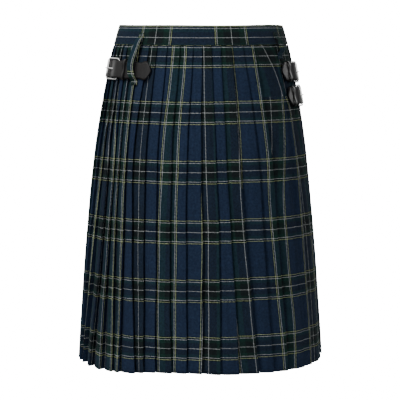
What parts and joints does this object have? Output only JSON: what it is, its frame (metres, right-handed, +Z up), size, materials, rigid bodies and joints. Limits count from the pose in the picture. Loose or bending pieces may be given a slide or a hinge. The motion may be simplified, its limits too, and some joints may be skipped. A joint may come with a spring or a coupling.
{
  "type": "kilt",
  "caption": "Wrapped tartan kilt held in its worn form, knife pleats across the back, plain overlapping front, waistband, belt loops, hip straps with metal buckles.",
  "frame": {"origin": "the middle of the waist, where the wearer holds it up, level with the waistband's top edge at the back", "axes": "+Z up, -Y towards the pleated back, +Y towards the plain front, +X towards the wearer's right"},
  "size_m": [0.4476, 0.3419, 0.61],
  "materials": {
    "cloth": "twill woven tartan, navy, blue and green with fine white and yellow lines, slightly napped",
    "leather": "dark grained leather with black edges, soft sheen",
    "buckle": "bright nickel-plated steel"
  },
  "bodies": {
    "root": {"waistband": "cloth", "pleated_back": "cloth", "over_apron": "cloth", "under_apron": "cloth", "belt_loop_left": "cloth", "belt_loop_right": "cloth", "strap_left": "leather", "strap_right_upper": "leather", "strap_right_lower": "leather", "chape_left": "leather", "chape_right_upper": "leather", "chape_right_lower": "leather", "keeper_left": "leather", "keeper_right_upper": "leather", "keeper_right_lower": "leather", "buckle_frame_left": "buckle", "buckle_frame_right_upper": "buckle", "buckle_frame_right_lower": "buckle", "roller_left": "buckle", "roller_right_upper": "buckle", "roller_right_lower": "buckle", "prong_left": "buckle", "prong_right_upper": "buckle", "prong_right_lower": "buckle"}
  },
  "joints": []
}
